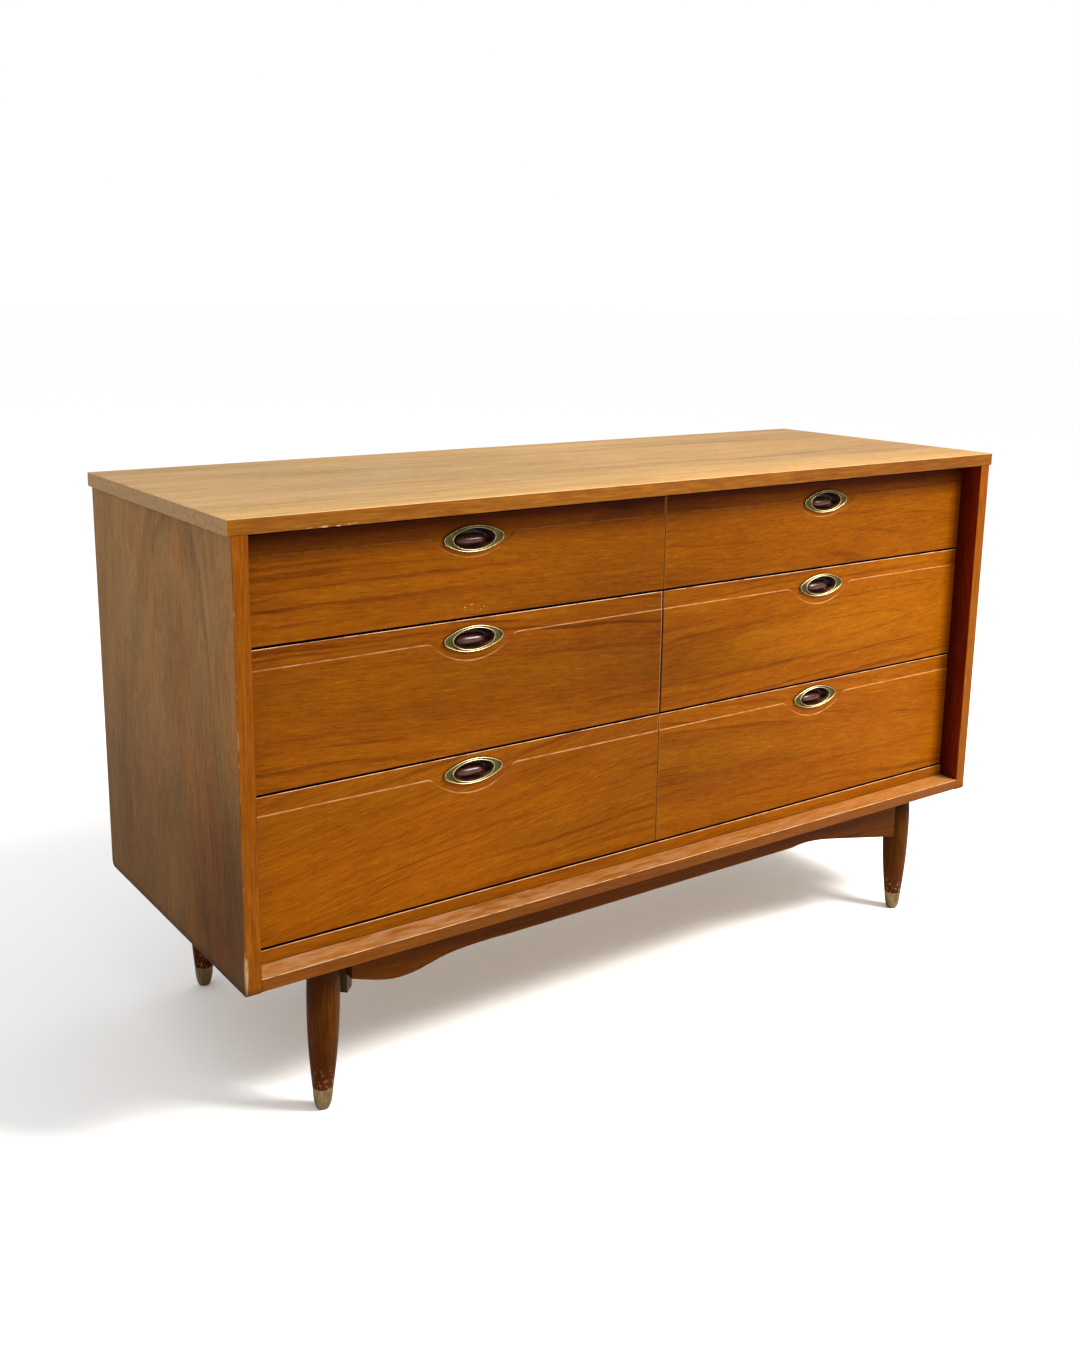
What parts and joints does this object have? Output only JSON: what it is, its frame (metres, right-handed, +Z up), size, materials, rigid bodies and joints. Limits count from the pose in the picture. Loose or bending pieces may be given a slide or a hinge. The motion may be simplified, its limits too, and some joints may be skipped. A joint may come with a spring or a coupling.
{
  "type": "dresser with drawers",
  "caption": "Low wide walnut dresser with side-by-side sliding drawers, oval brass recessed pulls, routed fronts, overhanging top, shaped apron and turned tapered legs.",
  "frame": {"origin": "on the floor under the middle of the case, midway across its width and depth", "axes": "+X along the width to the viewer's right, drawer fronts face -Y, +Z up"},
  "size_m": [1.32, 0.472, 0.775],
  "materials": {
    "walnut_top": "satin",
    "walnut_side": "satin",
    "walnut_front": "satin",
    "walnut_trim": "satin",
    "walnut_leg": "satin",
    "dark_block": "matte",
    "inner_wood": "matte",
    "drawer_wood": "satin",
    "drawer_bottom": "satin",
    "hardboard": "matte",
    "pull_brass": "polished",
    "pull_cup": "gloss",
    "ferrule_brass": "dull",
    "steel": "satin"
  },
  "bodies": {
    "case": {"top_panel": "walnut_top", "side_panel_left": "walnut_side", "side_panel_right": "walnut_side", "centre_partition": "inner_wood", "front_ledge": "walnut_trim", "floor_board": "inner_wood", "back_panel": "hardboard", "back_panel_nails": "steel", "top_stretchers": "inner_wood", "upper_web_rails": "inner_wood", "lower_web_rails": "inner_wood", "bottom_rail": "walnut_trim", "drawer_runners": "inner_wood", "drawer_guides": "inner_wood", "leg_front_left": "walnut_leg", "leg_back_left": "walnut_leg", "leg_front_right": "walnut_leg", "leg_back_right": "walnut_leg", "leg_ferrules": "ferrule_brass", "leg_studs": "steel", "corner_blocks": "dark_block", "front_apron": "walnut_trim", "back_rail": "walnut_trim", "base_side_rails": "walnut_trim"},
    "drawer_top_left": {"drawer_front_top_left": "walnut_front", "drawer_sides_top_left": "drawer_wood", "drawer_back_top_left": "drawer_wood", "drawer_bottom_top_left": "drawer_bottom", "pull_bezel_top_left": "pull_brass", "pull_cup_top_left": "pull_cup"},
    "drawer_top_right": {"drawer_front_top_right": "walnut_front", "drawer_sides_top_right": "drawer_wood", "drawer_back_top_right": "drawer_wood", "drawer_bottom_top_right": "drawer_bottom", "pull_bezel_top_right": "pull_brass", "pull_cup_top_right": "pull_cup"},
    "drawer_middle_left": {"drawer_front_middle_left": "walnut_front", "drawer_sides_middle_left": "drawer_wood", "drawer_back_middle_left": "drawer_wood", "drawer_bottom_middle_left": "drawer_bottom", "pull_bezel_middle_left": "pull_brass", "pull_cup_middle_left": "pull_cup"},
    "drawer_middle_right": {"drawer_front_middle_right": "walnut_front", "drawer_sides_middle_right": "drawer_wood", "drawer_back_middle_right": "drawer_wood", "drawer_bottom_middle_right": "drawer_bottom", "pull_bezel_middle_right": "pull_brass", "pull_cup_middle_right": "pull_cup"},
    "drawer_bottom_left": {"drawer_front_bottom_left": "walnut_front", "drawer_sides_bottom_left": "drawer_wood", "drawer_back_bottom_left": "drawer_wood", "drawer_bottom_bottom_left": "drawer_bottom", "pull_bezel_bottom_left": "pull_brass", "pull_cup_bottom_left": "pull_cup"},
    "drawer_bottom_right": {"drawer_front_bottom_right": "walnut_front", "drawer_sides_bottom_right": "drawer_wood", "drawer_back_bottom_right": "drawer_wood", "drawer_bottom_bottom_right": "drawer_bottom", "pull_bezel_bottom_right": "pull_brass", "pull_cup_bottom_right": "pull_cup"}
  },
  "joints": [
    {"name": "slide_top_left", "type": "slide", "parent": "case", "child": "drawer_top_left", "axis": [0, -1, 0], "range_m": [0, 0.3]},
    {"name": "slide_top_right", "type": "slide", "parent": "case", "child": "drawer_top_right", "axis": [0, -1, 0], "range_m": [0, 0.3]},
    {"name": "slide_middle_left", "type": "slide", "parent": "case", "child": "drawer_middle_left", "axis": [0, -1, 0], "range_m": [0, 0.3]},
    {"name": "slide_middle_right", "type": "slide", "parent": "case", "child": "drawer_middle_right", "axis": [0, -1, 0], "range_m": [0, 0.3]},
    {"name": "slide_bottom_left", "type": "slide", "parent": "case", "child": "drawer_bottom_left", "axis": [0, -1, 0], "range_m": [0, 0.3]},
    {"name": "slide_bottom_right", "type": "slide", "parent": "case", "child": "drawer_bottom_right", "axis": [0, -1, 0], "range_m": [0, 0.3]}
  ]
}
